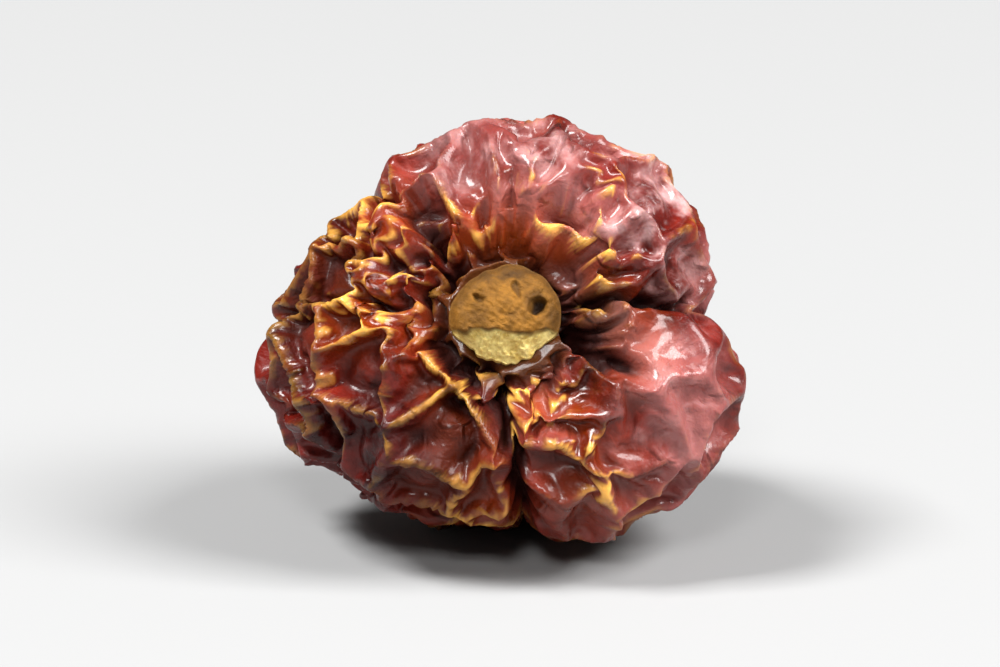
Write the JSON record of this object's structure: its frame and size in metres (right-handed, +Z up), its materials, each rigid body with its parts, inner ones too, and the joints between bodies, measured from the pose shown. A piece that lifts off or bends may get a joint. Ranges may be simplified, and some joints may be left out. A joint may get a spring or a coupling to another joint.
{
  "type": "dried habanero pepper",
  "caption": "Stemless dried habanero pod: a squat, lobed, deeply shrivelled fruit lying on its side with the corky scar of its stem in a crown hollow.",
  "frame": {"origin": "on the surface the pod rests on, under the centre of its bounding box", "axes": "+Z up from the surface; -Y towards the front, where the stem scar shows; +X to the right as seen from the front, along the pod's widest extent"},
  "size_m": [0.0354, 0.031, 0.0307],
  "materials": {
    "dried_flesh": "satin, dark red-brown with golden fold crests",
    "corky_scar": "matt, tan with dark pits"
  },
  "bodies": {
    "root": {"pod": "dried_flesh", "stem_scar": "corky_scar"}
  },
  "joints": []
}
